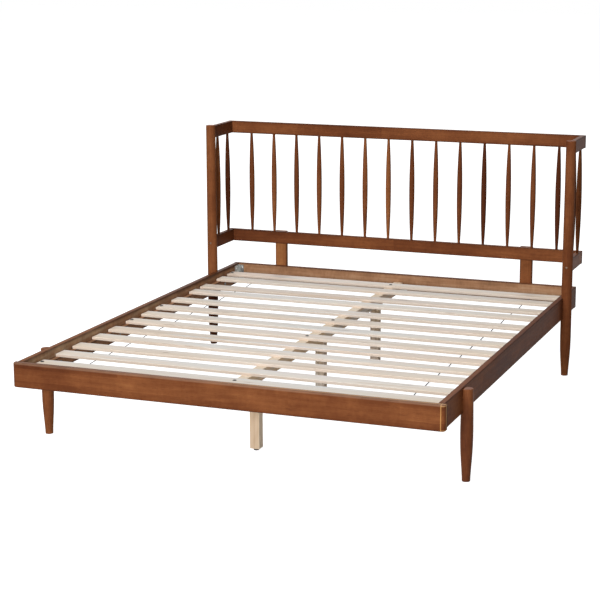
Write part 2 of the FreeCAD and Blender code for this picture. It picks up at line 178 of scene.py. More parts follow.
# a noise is given by its scale, detail and roughness, and its stretch along, across and into the grain;
# a rag says how far a noise shifts the place where something fades
stain = {
    "colours": [(0.0, (0.085, 0.024, 0.010)), (0.36, (0.160, 0.050, 0.0185)), (0.62, (0.238, 0.082, 0.0295)),
                (1.0, (0.370, 0.152, 0.054))],
    "thinColours": [(0.0, (0.215, 0.112, 0.058)), (0.38, (0.345, 0.176, 0.092)), (0.64, (0.425, 0.240, 0.135)),
                    (1.0, (0.540, 0.370, 0.235))],
    "edge": (0.050, 0.017, 0.009), "edgeShare": 0.8, "edgeRag": 1.4,  # the dark line at a board's edges
    "shade": 0.10, "shadeWidth": 0.020, "shadeRag": 0.8,  # the deeper stain beside it
    # the first colour is stain rubbed through at rounded edges, the second a painted sheen
    "rubbed": (0.62, 0.330, 0.110), "paintedSheen": (0.52, 0.350, 0.240),
    "seamCore": 0.4, "patch": (0.25, 0.5), "patchShare": 0.3,  # how sharp and how patchy a rubbed line or a painted sheen line is
    "pore": (0.040, 0.014, 0.008), "poreShare": 0.55, "poreRange": (0.63, 0.74),
    "face": (0.0003, 0.0012), "seedSteps": (3.7, 0.31, 0.17),  # depth of a thin face; steps between boards
    "stripWidth": 0.047, "stripLength": 0.41, "stripJog": 0.613, "stripAcross": 0.06, "stripInto": 0.05,
    "spindlePitch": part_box("spindle_02")[0].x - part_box("spindle_01")[0].x, "spindleShift": 7, "spindleDepth": 0.4,
    "ringSpacing": 0.0065, "ringWaves": 5, "heartWander": 0.10, "heartAcross": -0.02, "heartInto": 0.045,
    "blotch": (5.0, 3.0, 0.55, (0.35, 1, 1)),
    "noises": {
        "wander": (1.3, 1.0, 0.5, (1, 0.2, 0.2)), "streak": (90.0, 2.0, 0.6, (0.05, 1, 1)),
        "fibre": (620.0, 2.0, 0.6, (0.02, 1, 1)), "figure": (75.0, 3.0, 0.65, (1, 0.4, 0.4)),
        "mottle": (22.0, 3.0, 0.6, (0.6, 1, 1)), "pores": (980.0, 1.0, 0.5, (0.045, 1, 1)),
    },
    "depths": {"blotch": 0.85, "strip": 0.20, "rings": 0.06, "streak": 0.18, "figure": 0.20, "mottle": 0.42,
               "fibre": 0.26},
    "wornDepths": {"streak": 0.5, "figure": 0.35, "mottle": 0.45},
    "roughness": 0.48, "roughs": {"fibre": 0.16, "blotch": 0.12}, "gloss": 0.02, "ior": 1.46,
    "relief": {"fibre": 0.6, "pores": -0.9, "rings": 0.25}, "bump": (0.00012, 0.55),
}


def stainedWood(name, along, seed, node=None, edge=None, strips=True, tone=0.0, bySpindle=False, thin=None,
                seams=(), drift=None, look=stain):
    # stained hardwood: rings round a leaning heart line, long fibres, short pores and glued strips
    # thin names the face that the stain hardly covers, and seams the lines where it is rubbed through or where a
    # sheen is painted:
    # the axis and place of each, its width and strength, where along other axes it starts, and its colour
    # drift gives two places along the grain and how much deeper the tone is at the second than at the first
    made = Finish(name)
    axes = made.axes(made.place())
    across, into = [index for index in (2, 0, 1) if index != along][:2]
    run, wide, thick = axes[along], axes[across], axes[into]
    jog = look["stripJog"] * seed
    grain = made.point(*[axis + step * seed for axis, step in zip((run, wide, thick), look["seedSteps"])])
    blotch = made.noise(grain, *look["blotch"])
    if strips:
        row = ((wide + jog) / look["stripWidth"]).floor()
        strip = made.chance(row + seed, (run / look["stripLength"] + row * goldenStep + jog).floor())
    elif bySpindle:
        strip = made.chance(*[(axis / look["spindlePitch"]).floor() for axis in axes[:2]])
        grain = made.point(run + strip * look["spindleShift"], wide, thick)
    else:
        strip = made.chance(seed, 0.5)
    patterns = {key: made.noise(grain, *noise) for key, noise in look["noises"].items()}
    patterns["pores"] = made.fade(patterns["pores"], *look["poreRange"])
    heartWide = wide - patterns["wander"].swing(look["heartWander"]) + strip * look["stripAcross"]
    heartWide = heartWide + look["heartAcross"]
    heartThick = thick + look["heartInto"] + strip * look["stripInto"]
    reach = (heartWide * heartWide + heartThick * heartThick) ** 0.5
    rings = (reach * (2 * math.pi / look["ringSpacing"]) + blotch * look["ringWaves"]).sine() * 0.5 + 0.5
    patterns.update(blotch=blotch, strip=strip, rings=rings)
    depth = weighed(patterns, look["depths"]) + (0.5 + tone)
    if bySpindle:
        depth = depth + strip.swing(look["spindleDepth"])
    if drift:
        start, end, change = drift
        depth = depth + made.fade(run, start, end) * change
    if node:
        depth = depth - rim(made, axes, node, look["shadeWidth"], blotch.swing(look["shadeRag"])) * look["shade"]
    colour = made.ramp(depth, look["colours"])
    colour = made.mix(patterns["pores"] * look["poreShare"], colour, look["pore"])
    patch = made.fade(patterns["mottle"], *look["patch"]) * look["patchShare"] + (1 - look["patchShare"])
    # where the stain is rubbed through or a sheen is painted, the dark edge is left out
    wearAndSheen = 0.0
    for index, spot, width, strength, guards, paint in seams:
        line = 1 - made.fade((axes[index] - spot).size(), width * look["seamCore"], width)
        for other, start, end in guards:
            line = line * made.fade(axes[other], start, end)
        wearAndSheen = line.high(wearAndSheen)
        colour = made.mix(line * patch * strength, colour, look[paint])
    if thin == "all":
        colour = made.ramp(depth, look["thinColours"])
    elif thin:
        index, side = thin
        face = 1 - made.fade((axes[index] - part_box(node)[side][index]).size(), *look["face"])
        worn = depth + weighed(patterns, look["wornDepths"])
        colour = made.mix(face, colour, made.ramp(worn, look["thinColours"]))
    if node:
        edges = rim(made, axes, node, edge, blotch.swing(look["edgeRag"])) * (1 - wearAndSheen)
        colour = made.mix(edges * look["edgeShare"], colour, look["edge"])
    return made.close({"Base Color": colour, "Roughness": look["roughness"] + weighed(patterns, look["roughs"]),
                       "IOR": look["ior"], "Specular IOR Level": look["gloss"],
                       "Normal": made.bump(weighed(patterns, look["relief"]), *look["bump"])})


bare = {
    "slat": [(0.0, (0.540, 0.405, 0.300)), (0.25, (0.740, 0.622, 0.508)), (0.55, (0.835, 0.746, 0.648)),
             (1.0, (0.880, 0.838, 0.768))],
    # painted light: the beam's colours stand near white and its sides are more orange than its top, for the shade
    # under the slats
    "beam": [(0.0, (0.700, 0.440, 0.240)), (0.4, (0.920, 0.655, 0.400)), (0.7, (0.950, 0.710, 0.465)),
             (1.0, (0.955, 0.770, 0.540))],
    "beamTop": [(0.0, (0.640, 0.470, 0.320)), (0.4, (0.820, 0.665, 0.500)), (0.7, (0.890, 0.750, 0.590)),
                (1.0, (0.930, 0.830, 0.700))],
    "leg": [(0.0, (0.405, 0.255, 0.150)), (0.4, (0.580, 0.422, 0.286)), (0.7, (0.650, 0.502, 0.356)),
            (1.0, (0.705, 0.580, 0.440))],
    # painted light: a far paler copy of the leg's colours for its side face that turns from the lamps
    "legSidePaintedLight": [(0.0, (0.700, 0.500, 0.330)), (0.4, (0.900, 0.720, 0.530)), (0.7, (0.940, 0.790, 0.610)),
                (1.0, (0.950, 0.840, 0.690))],
    # painted light: a paler copy of the leg's colours for the centre legs that stand in shade
    "innerLegPaintedLight": [(0.0, (0.680, 0.480, 0.300)), (0.4, (0.900, 0.700, 0.490)), (0.7, (0.930, 0.760, 0.560)),
                 (1.0, (0.940, 0.800, 0.630))],
    "knot": (0.220, 0.120, 0.065), "pink": (0.850, 0.690, 0.610), "vein": (0.500, 0.330, 0.210),
    "grey": (0.740, 0.750, 0.745), "warm": (0.860, 0.700, 0.520),
    "sawn": (0.740, 0.645, 0.560), "sawnDark": (0.600, 0.460, 0.350), "screwRingColour": (0.150, 0.095, 0.060),
    "ringSpacing": 0.004, "ringWaves": 4, "ringDepth": 0.13,
    "heartWander": 0.14, "heartAcross": 0.05, "heartInto": 0.06, "shiftAlong": 9, "shiftInto": 3,
    "noises": {
        "blotch": (4.0, 3.0, 0.55, (0.55, 1.2, 1.2)), "streak": (70.0, 2.0, 0.6, (0.03, 1, 1)),
        "fibre": (520.0, 2.0, 0.6, (0.016, 1, 1)), "wander": (1.1, 1.0, 0.5, (1, 0.3, 0.3)),
    },
    "marks": [  # a noise and its shift, the values between which it shows, its share and its colour
        ((9.0, 2.0, 0.5, (0.16, 2.2, 1), (4, 2, 7)), 0.5, 0.7, 0.6, "pink"),
        ((9.0, 2.0, 0.5, (0.18, 2.4, 1), (2, 8, 3)), 0.52, 0.7, 0.6, "grey"),
        ((105.0, 1.0, 0.4, (0.018, 1, 1), (3, 1, 6)), 0.62, 0.74, 0.5, "vein"),
        ((48.0, 1.0, 0.4, (0.13, 1, 1), (9, 5, 1)), 0.735, 0.79, 0.75, "knot"),
    ],
    "tone": 0.57, "pieceDepth": 0.35, "depths": {"blotch": 0.8, "streak": 0.6, "fibre": 0.22},
    "face": (0.0012, 0.0004),
    # a slat's grey rear, which is a painted reflection, its warm ends, sawn sides and the darker ring round its
    # screws: between which distances each fades, how ragged it is and how much it covers
    "rear": (-0.020, 0.034), "rearRag": 0.04, "rearShare": 0.30,
    "ends": (0.50, 0.80), "endsRag": 0.5, "endsShare": 0.42, "endsCover": 0.6,
    "sideTop": (0.0008, 0.0018), "sideFoot": (0.0002, 0.0012), "sideShare": 0.8,
    "screwRing": (0.0072, 0.0095), "screwRingShare": 0.6,
    "roughness": 0.62, "roughs": {"fibre": 0.2},
    "relief": {"fibre": 0.7, "rings": 0.3}, "bump": (0.00016, 0.6),
}
slats = [name for name in nodes if name.startswith("slat_") and name[5:].isdigit()]
screwedSlats = ("slat_01", "slat_06", "slat_08", "slat_13")


def slatLine(name):
    # the middle and the slope of a slat, from its four corners: the points that lie farthest along
    # the four diagonals, each 0.2 across the slat for 1 along it
    mesh = nodes[name].data
    spots = np.zeros(len(mesh.vertices) * 3)
    mesh.vertices.foreach_get("co", spots)
    spots = spots.reshape(-1, 3)
    corners = np.array([spots[(spots @ (side, end, 0)).argmax()] for side in (-1, 1) for end in (-0.2, 0.2)])
    left, right = corners[:2].mean(0), corners[2:].mean(0)
    slope = (right[1] - left[1]) / (right[0] - left[0])
    return float(left[1] - slope * left[0]), float(slope)


slatLines = {name: slatLine(name) for name in slats}


def bareWood(name, along, seed, colours, node=None, face=None, gloss=0.12, look=bare):
    # planed softwood with no finish: pale, with long pinkish streaks and a few brown flecks
    # a slat turns from greyish at its rear edge, a painted reflection of the white surroundings, to warm at its front
    # edge and its ends
    # face gives the axis along which one face looks and the colours of that face
    made = Finish(name)
    axes = made.axes(made.place())
    across, into = [index for index in (1, 2, 0) if index != along][:2]
    run, wide, thick = axes[along], axes[across], axes[into]
    piece = seed * goldenStep % 1
    grain = made.point(run + (piece * look["shiftAlong"] + seed), wide, thick + piece * look["shiftInto"])
    patterns = {key: made.noise(grain, *noise) for key, noise in look["noises"].items()}
    blotch = patterns["blotch"]
    heartWide = wide - patterns["wander"].swing(look["heartWander"]) + (piece - 0.5) * look["heartAcross"]
    heartThick = thick + look["heartInto"]
    reach = (heartWide * heartWide + heartThick * heartThick) ** 0.5
    rings = (reach * (2 * math.pi / look["ringSpacing"]) + blotch * look["ringWaves"]).sine() * 0.5 + 0.5
    patterns["rings"] = rings
    depth = weighed(patterns, look["depths"]) - rings * rings * look["ringDepth"]
    depth = depth + (look["tone"] + (piece - 0.5) * look["pieceDepth"])
    colour = made.ramp(depth, colours)
    for noise, start, end, share, paint in look["marks"]:
        colour = made.mix(made.fade(made.noise(grain, *noise), start, end) * share, colour, look[paint])
    if face:
        index, paints = face
        inner, outer = [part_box(node)[1][index] - depthBelow for depthBelow in look["face"]]
        colour = made.mix(made.fade(axes[index], inner, outer), colour, made.ramp(depth, paints))
    if node in slatLines:
        low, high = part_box(node)
        middle, slope = slatLines[node]
        local = axes[1] - middle - axes[0] * slope
        reach = axes[0].size()
        # the grey towards each slat's rear edge is a painted reflection of the white surroundings
        rear = made.fade(local + blotch.swing(look["rearRag"]), *look["rear"])
        colour = made.mix(rear * (look["rearShare"] * (1 + piece)), colour, look["grey"])
        ends = made.fade(reach + blotch.swing(look["endsRag"]), *look["ends"])
        colour = made.mix(ends * (1 - rear * look["endsCover"]) * look["endsShare"], colour, look["warm"])
        side = made.fade(high.z - axes[2], *look["sideTop"]) * made.fade(axes[2] - low.z, *look["sideFoot"])
        sawn = made.mix(patterns["streak"], look["sawnDark"], look["sawn"])
        colour = made.mix(side * look["sideShare"], colour, sawn)
        if node in screwedSlats:
            reach = reach.low((reach - screws["slatEnd"]).size())
            # a darker ring round each screw
            screwRing = 1 - made.fade((reach * reach + local * local) ** 0.5, *look["screwRing"])
            colour = made.mix(screwRing * look["screwRingShare"], colour, look["screwRingColour"])
    return made.close({"Base Color": colour, "Roughness": look["roughness"] + weighed(patterns, look["roughs"]),
                       "Specular IOR Level": gloss,
                       "Normal": made.bump(weighed(patterns, look["relief"]), *look["bump"])})


screws = {  # metres, but tip and core are shares of the shank, threadStart and threadEnd of the length
    "slatEnd": 0.7875, "length": 0.028, "ledgerLength": 0.042, "strutLength": 0.038, "hangerLength": 0.017,
    "head": 0.0042, "lip": 0.0003, "lipWidth": 0.0002, "shank": 0.0020, "tip": 0.15, "sink": 0.0036,
    "pitch": 0.0030, "threadStart": 0.9, "threadEnd": 0.45, "core": 0.72,
    "wafer": 0.0068, "waferHeight": 0.0024, "waferRows": 6,
    "recess": [(0.0, 0.0026), (0.0002, 0.002444), (0.0016, 0.00156)],  # depths and radii
    "ledgerEnd": 0.120, "hangerSide": 0.032, "hangerSheet": 0.002,
}
metal = {
    "zinc": (0.56, 0.57, 0.55), "zincDark": (0.36, 0.37, 0.36), "zincRough": 0.34,
    "steel": (0.085, 0.080, 0.076), "steelWorn": (0.34, 0.33, 0.31), "steelRough": 0.42,
    "black": (0.060, 0.058, 0.056), "blackDark": (0.030, 0.029, 0.028), "blackRough": 0.55,
    "bronze": (0.26, 0.17, 0.12), "bronzeDark": (0.14, 0.085, 0.055),
    "mottle": (160.0, 3.0, 0.6), "marks": (900.0, 2.0, 0.5, (1, 0.05, 1)), "marksRough": 0.25,
    "bump": (0.00005, 0.4),
}
plastic = {
    "colour": (0.018, 0.018, 0.019), "scuffed": (0.06, 0.06, 0.06), "rough": 0.46,
    "scuff": (120.0, 3.0, 0.7), "scuffRange": (0.55, 0.8), "scuffRough": 0.3,
    "spark": (1400.0, 2.0, 0.5), "bump": (0.00006, 0.5),
}


def plated(name, light, dark, rough):  # metal with a faint crystal mottle and fine rolling marks
    made = Finish(name)
    place = made.place()
    mottle = made.noise(place, *metal["mottle"])
    marks = made.noise(place, *metal["marks"])
    return made.close({"Base Color": made.mix(mottle, dark, light), "Metallic": 1.0,
                       "Roughness": rough + marks.swing(metal["marksRough"]),
                       "Normal": made.bump(marks + mottle, *metal["bump"])})


def mouldedPlastic(name):  # matt plastic, paler where it is scuffed
    made = Finish(name)
    place = made.place()
    spark = made.noise(place, *plastic["spark"])
    scuff = made.noise(place, *plastic["scuff"])
    colour = made.mix(made.fade(scuff, *plastic["scuffRange"]), plastic["colour"], plastic["scuffed"])
    return made.close({"Base Color": colour, "Roughness": plastic["rough"] + scuff.swing(plastic["scuffRough"]),
                       "Normal": made.bump(spark, *plastic["bump"])})


def give(names, material):  # puts a finish in every material slot of some nodes
    for name in names:
        for slot in nodes[name].material_slots:
            slot.material = material


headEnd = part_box("head_rail")[1].x  # the head rail's drift darkens this end's face alone: painted shade on the end that faces away from the front lamp
boards = {  # node: axis of its grain, seed, shift of its tone, face that the stain hardly covers, drift
    "foot_rail": (0, 1, -0.12, (1, 1), (-0.8, 0.2, 0.08)),
    "head_rail": (0, 2, 0.02, (1, 0), (headEnd - 0.0012, headEnd - 0.0003, -0.72)),
    "left_side_rail": (1, 3, 0.16, (0, 1), None), "right_side_rail": (1, 4, 0.00, (0, 0), (-0.98, -0.35, -0.27)),
    "headboard_top_rail": (0, 5, 0.02, None, (-0.6, 0.6, -0.14)),
    "headboard_lower_rail": (0, 6, -0.18, None, (-0.7, 0.7, 0.24)),
    "left_wing_top_rail": (1, 7, -0.14, None, None), "right_wing_top_rail": (1, 8, -0.20, None, None),
    "left_wing_lower_rail": (1, 9, -0.12, None, None), "right_wing_lower_rail": (1, 10, 0.02, None, None),
    "left_headboard_strut": (2, 11, 0.46, None, None), "right_headboard_strut": (2, 12, 0.20, None, None),
    "left_ledger": (1, 13, 0.0, "all", None), "right_ledger": (1, 14, 0.0, "all", None),
}
glossy = dict(stain, gloss=0.045, edgeShare=0.85)  # the right wing's boards, which a hand polishes
edgeWidth = 0.0040
edgeWidths = {"left_side_rail": 0.0100, "right_wing_top_rail": 0.0060, "right_wing_lower_rail": 0.0050}
footLow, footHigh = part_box("foot_rail")
footRound = 0.015  # radius of the foot rail's upright front corners, rubbed through where they start and end
footEase = 0.004  # radius of its level edges
footBend = [(0, footHigh.x - footRound - 0.001, footHigh.x - footRound),
            (1, footLow.y + footRound * 2, footLow.y + footRound)]
footSeams = [
    (0, footHigh.x - footRound, 0.0022, 0.78, [], "rubbed"),
    (1, footLow.y + footRound + 0.002, 0.0045, 0.85, [(0, -0.2, 0.2)], "rubbed"),
    (2, footHigh.z - footEase, 0.0020, 0.7, footBend, "rubbed"),
    (2, footLow.z + footEase, 0.0020, 0.7, footBend, "rubbed"),
    # the top face: a painted sheen, paler than the stain
    (2, footHigh.z, 0.0080, 0.22, [], "paintedSheen"),
]
for name, (along, seed, tone, thin, drift) in boards.items():
    give([name], stainedWood(name + "_stain", along, seed, name, edgeWidths.get(name, edgeWidth),
                             "ledger" not in name, tone, thin=thin, drift=drift,
                             seams=footSeams if name == "foot_rail" else (),
                             look=glossy if "right_wing" in name else stain))
legs = {  # node: seed, tone at the foot, then the heights between which it changes and the change
    # left_rear_post: its lower part under the deck is painted darker, a painted shadow of the bed
    "left_rear_post": (20, -0.60, (0.24, 0.36, 0.77)), "right_rear_post": (21, 0.0, (0.20, 0.50, -0.06)),
    # right_front_leg: painted lighter upwards from its middle, painted light where the foot rail's shadow falls
    "left_front_leg": (22, 0.18, None), "right_front_leg": (23, -0.32, (0.15, 0.30, 0.18)),
}
polished = dict(stain, gloss=0.07)  # the front leg beside which one gets in and out
for name, (seed, tone, drift) in legs.items():
    give([name], stainedWood(name + "_stain", 2, seed, strips=False, tone=tone, drift=drift,
                             look=polished if name == "right_front_leg" else stain))
spindleSeed = 31
spindleTone = -0.20
# spindle_14, the last of the back row beside the right post, is painted darker: painted shade
spindleTones = {"spindle_14": -0.65, "left_wing_spindles": -0.20, "right_wing_spindles": 0.10}
matt = dict(stain, gloss=0.005)
spindles = [name for name in nodes if "spindle" in name and name not in spindleTones]
for names, tone in [(spindles, spindleTone)] + [([name], tone) for name, tone in spindleTones.items()]:
    give(names, stainedWood(names[0] + "_stain", 2, spindleSeed, strips=False, tone=tone, bySpindle=True,
                            look=matt))
for seed, name in enumerate(slats, 5):
    give([name], bareWood(name + "_wood", 0, seed, bare["slat"], name))
# the beam's sides and top are painted lighter and its sides warmer: painted light under the slats
give(["centre_beam"], bareWood("bare_beam", 1, 8, bare["beam"], "centre_beam", (2, bare["beamTop"]), 0.03))
# its +X face takes the paler colours: painted light on the side in shade
give(["front_centre_leg"], bareWood("bare_leg", 2, 9, bare["leg"], "front_centre_leg", (0, bare["legSidePaintedLight"])))
# the middle and rear centre legs take the paler copy: painted light under the slats
give(["middle_centre_leg", "rear_centre_leg"], bareWood("bare_inner_leg_painted_light", 2, 10, bare["innerLegPaintedLight"], gloss=0.05))
zinc = plated("zinc_plate", metal["zinc"], metal["zincDark"], metal["zincRough"])
dark = plated("dark_steel", metal["steelWorn"], metal["steel"], metal["steelRough"])
black = plated("black_steel", metal["black"], metal["blackDark"], metal["blackRough"])
bronze = plated("bronze_steel", metal["bronze"], metal["bronzeDark"], metal["steelRough"])
give(["corner_brackets", "beam_hangers", "glide_inserts"], zinc)
give(["front_glide", "middle_glide", "rear_glide"], mouldedPlastic("black_glide"))
print("finishes given to", len(nodes), "nodes")


def addPiece(name, spots, faces, material):  # a smooth mesh that is part of the frame
    mesh = bpy.data.meshes.new(name)
    mesh.from_pydata(spots.tolist(), [], faces)
    mesh.polygons.foreach_set("use_smooth", np.ones(len(faces), bool))
    mesh.materials.append(material)
    piece = bpy.data.objects.new(name, mesh)
    bpy.context.scene.collection.objects.link(piece)
    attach(piece, "frame")
    return piece


def gridFaces(rows, columns, closed=False):
    # the numbers of a grid's points and the four-sided faces between neighbours in rows and columns;
    # closed joins the last column to the first
    index = np.arange(rows * columns).reshape(rows, columns)
    if closed:
        index = np.concatenate([index, index[:, :1]], 1)
    quads = np.stack([index[:-1, :-1], index[:-1, 1:], index[1:, 1:], index[1:, :-1]], -1).reshape(-1, 4)
    return index, quads


turning = {"columns": 36, "waist": 0.42, "sharp": 32}  # points round, a cross recess's waist, angle of an edge


def turnedSet(name, rows, seats, material):
    # a profile of height and radius is carried round an axis at each seat. Where a row's form is 6 or 4
    # the radius is that of a hexagon or a cross, worked out from the angle, as in a driver's recess.
    # the first and the last row end in one point each, and fans of triangles close them
    columns = turning["columns"]
    angle = np.linspace(0, 2 * math.pi, columns, endpoint=False)
    hexagon = math.cos(math.pi / 6) / np.cos(np.mod(angle, math.pi / 3) - math.pi / 6)
    cross = turning["waist"] + (1 - turning["waist"]) * np.abs(np.cos(2 * angle)) ** 3
    outline = {0: np.ones(columns), 6: hexagon, 4: cross}
    height = np.array([row[0] for row in rows])
    radius = np.array([row[1] * outline[row[2] if len(row) > 2 else 0] for row in rows])
    index, quads = gridFaces(len(rows), columns, True)
    quads = quads[:, [0, 3, 2, 1]]
    top = len(rows) * columns
    first = np.stack([np.full(columns, top), index[0, :-1], index[0, 1:]], -1)
    last = np.stack([np.full(columns, top + 1), index[-1, 1:], index[-1, :-1]], -1)
    spots, faces = [], []
    for number, (place, direction) in enumerate(seats):
        along = Vector(direction)
        side = along.orthogonal().normalized()
        other = np.array(along.cross(side))
        along, side, place = np.array(along), np.array(side), np.array(place)
        ring = np.cos(angle)[:, None] * side + np.sin(angle)[:, None] * other
        points = place + height[:, None, None] * along + radius[..., None] * ring
        spots += [points.reshape(-1, 3), place + height[[0, -1], None] * along]
        for part in (quads, first, last):
            faces += (part + number * (top + 2)).tolist()
    piece = addPiece(name, np.concatenate(spots), faces, material)
    piece.data.set_sharp_from_angle(angle=math.radians(turning["sharp"]))
    return piece


boltShape = {"crown": 0.4, "tip": 0.7, "chamfer": 0.3, "lip": 0.0003, "floorDepth": 0.0002, "floor": 0.4, "rows": 5}


def boltRows(shank, length, head, rise, socket, deep, look=boltShape):
    # shank with a chamfered tip, a washer face, a rounded head and a six-sided recess with a tapered floor
    crown = rise * look["crown"]
    bend = [(-rise + crown * (1 - math.sin(turn)), head - crown * (1 - math.cos(turn)))
            for turn in np.linspace(0, math.pi / 2, look["rows"])]
    recess = [(-rise, socket + look["lip"], 6), (-rise + look["lip"], socket, 6), (-rise + deep, socket, 6),
              (-rise + deep + look["floorDepth"], socket * look["floor"])]
    return [(length, shank * look["tip"]), (length - shank * look["chamfer"], shank), (0.0, shank), (0.0, head),
            *bend, *recess]


def screwRows(length, wafer=0.0, look=screws):
    # sharp tip, a thread whose radius swings between the core and the crest, a countersunk head and a recess.
    # a wafer head stands on the surface: its rim is a quarter of an oval that rises to the wafer's height
    shank = look["shank"]
    turns = np.arange(length * look["threadStart"], length * look["threadEnd"], -look["pitch"] / 2)
    ridge = [(place, shank * (1.0 if step % 2 else look["core"])) for step, place in enumerate(turns)]
    rim = [(look["lip"], look["head"]), (0.0, look["head"] - look["lipWidth"])]
    if wafer:
        rim = [(0.0, look["head"]), *[(-wafer * math.sin(turn), look["head"] + (look["wafer"] - look["head"])
                                       * math.cos(turn)) for turn in np.linspace(0, math.pi / 2, look["waferRows"])]]
    recess = [(depth - wafer, radius, 4) for depth, radius in look["recess"]]
    return [(length, shank * look["tip"]), *ridge, (look["sink"], shank), *rim, *recess]


def mirrored(places):
    # each place and direction, and its mirror image across the bed
    return [((side * x, y, z), (side * dx, dy, dz)) for (x, y, z), (dx, dy, dz) in places for side in (-1, 1)]


bolts = {
    # radius and length of the shank, radius and height of the head, radius and depth of its socket
    "leg": (0.004, 0.073, 0.0065, 0.004, 0.0030, 0.0026), "post": (0.004, 0.059, 0.0055, 0.005, 0.0028, 0.0030),
    "bracket": (0.003, 0.017, 0.006, 0.003, 0.0025, 0.0018),
    "stud": 0.004, "studTip": 0.0034, "studLength": 0.048, "studChamfer": 0.0006,
    "ledgerFace": 0.7775, "legZ": (0.275, 0.291), "postAxis": 0.8385, "postFront": 0.0165, "backSink": 0.005,
    "bracketSide": 0.7995, "bracketCross": 0.7856, "sideReach": 0.036, "crossReach": 0.003,
    "rearZ": (0.325, 0.283), "frontZ": (0.313, 0.271),
}


def middleOf(name, axis):  # half the sum of a box's two ends along an axis
    low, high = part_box(name)
    return (low[axis] + high[axis]) / 2


deckFront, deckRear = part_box("left_side_rail")[0].y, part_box("left_side_rail")[1].y
lowMiddle = middleOf("headboard_lower_rail", 2)


def makeBolts(look=bolts):
    # a bolt's seat is the point where its head bears, and the direction in which its shank runs
    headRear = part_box("head_rail")[1].y
    legY = [middleOf(name, 1) for name in ("left_front_leg", "left_rear_post")]
    seats = [((look["ledgerFace"], y, z), (1, 0, 0)) for y in legY for z in look["legZ"]]
    made = [turnedSet("leg_bolts", boltRows(*look["leg"]), mirrored(seats), dark)]
    seats = [((look["postAxis"], legY[1] - look["postFront"], lowMiddle), (0, 1, 0))]
    for z in (lowMiddle, middleOf("headboard_top_rail", 2)):
        seats.append(((look["postAxis"], headRear - look["backSink"], z), (0, -1, 0)))
    made.append(turnedSet("post_bolts", boltRows(*look["post"]), mirrored(seats), bronze))
    seats = []
    for face, inwards, levels in ((deckFront, 1, look["frontZ"]), (deckRear, -1, look["rearZ"])):
        for z in levels:
            seats.append(((look["bracketSide"], face + inwards * look["sideReach"], z), (1, 0, 0)))
            seats.append(((look["bracketCross"], face + inwards * look["crossReach"], z), (0, -inwards, 0)))
    made.append(turnedSet("bracket_bolts", boltRows(*look["bracket"]), mirrored(seats), zinc))
    half, radius, tip = look["studLength"] / 2, look["stud"], look["studTip"]
    edge = half - look["studChamfer"]
    seats = [((0, middleOf(name, 1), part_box("centre_beam")[0].z), (0, 0, 1))
             for name in ("front_centre_leg", "middle_centre_leg", "rear_centre_leg")]
    made.append(turnedSet("centre_leg_studs", [(half, tip), (edge, radius), (-edge, radius), (-half, tip)],
                          seats, dark))
    for piece in made:
        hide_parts("frame_bolts")


def makeScrews(look=screws):
    # a screw's seat is the middle of its head at the wood's surface, and the direction of its point;
    # on a slat it lies on the slat's line: the middle plus the slope times the place across the bed
    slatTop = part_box("slat_01")[1].z
    seats = [((x, slatLines[name][0] + slatLines[name][1] * x, slatTop), (0, 0, -1))
             for name in screwedSlats for x in (-look["slatEnd"], 0.0, look["slatEnd"])]
    made = [turnedSet("slat_screws", screwRows(look["length"], look["waferHeight"]), seats, black)]
    low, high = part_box("left_ledger")
    seats = [((bolts["ledgerFace"], y, middleOf("left_ledger", 2)), (1, 0, 0))
             for y in np.linspace(low.y + look["ledgerEnd"], high.y - look["ledgerEnd"], 4)]
    made.append(turnedSet("ledger_screws", screwRows(look["ledgerLength"]), mirrored(seats), dark))
    low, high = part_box("right_headboard_strut")
    seats = [((middleOf("right_headboard_strut", 0) + step * (high.x - low.x) / 4, high.y, z), (0, -1, 0))
             for step in (-1, 1) for z in (middleOf("left_side_rail", 2), lowMiddle)]
    made.append(turnedSet("strut_screws", screwRows(look["strutLength"]), mirrored(seats), dark))
    seats = [((look["hangerSide"], face + inwards * look["hangerSheet"], middleOf("centre_beam", 2)),
              (0, -inwards, 0)) for face, inwards in ((deckFront, 1), (deckRear, -1))]
    made.append(turnedSet("hanger_screws", screwRows(look["hangerLength"]), mirrored(seats), dark))
    for piece in made:
        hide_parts("wood_screws")


makeBolts()
makeScrews()
print("bolts and screws made")


tape = {
    "width": 0.0048, "thick": 0.0009, "steps": 420, "across": 5, "yarn": 0.0007,
    "sag": 0.0022, "span": 0.09,  # it sags so much between slats that are so far apart
    "gap": 0.0001, "inset": 0.0025, "sway": 0.0006, "swayRate": 1.9, "swayStart": {"left": 0.4, "right": 2.2},
    "light": (0.075, 0.078, 0.082), "dark": (0.020, 0.021, 0.023), "rough": 0.8, "sheen": 0.2,
    "bump": (0.0002, 0.6),
}


def tapeMiddles():  # where the tapes' middles lie across the bed
    low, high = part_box("slat_tapes")
    return {"left": low.x + tape["inset"], "right": high.x - tape["inset"]}


def wovenTape():  # the weave is the product of two sines, along and across the tape
    made = Finish("woven_tape")
    across, run, _ = made.axes(made.node("ShaderNodeUVMap", {"uv_map": "weave"}, {}, 0))
    weft = (run * (math.pi / tape["yarn"])).sine()
    warp = (across * (math.pi / tape["yarn"])).sine()
    over = weft * warp * 0.5 + 0.5
    return made.close({"Base Color": made.mix(over, tape["dark"], tape["light"]), "Roughness": tape["rough"],
                       "Sheen Weight": tape["sheen"], "Normal": made.bump(over, *tape["bump"])})


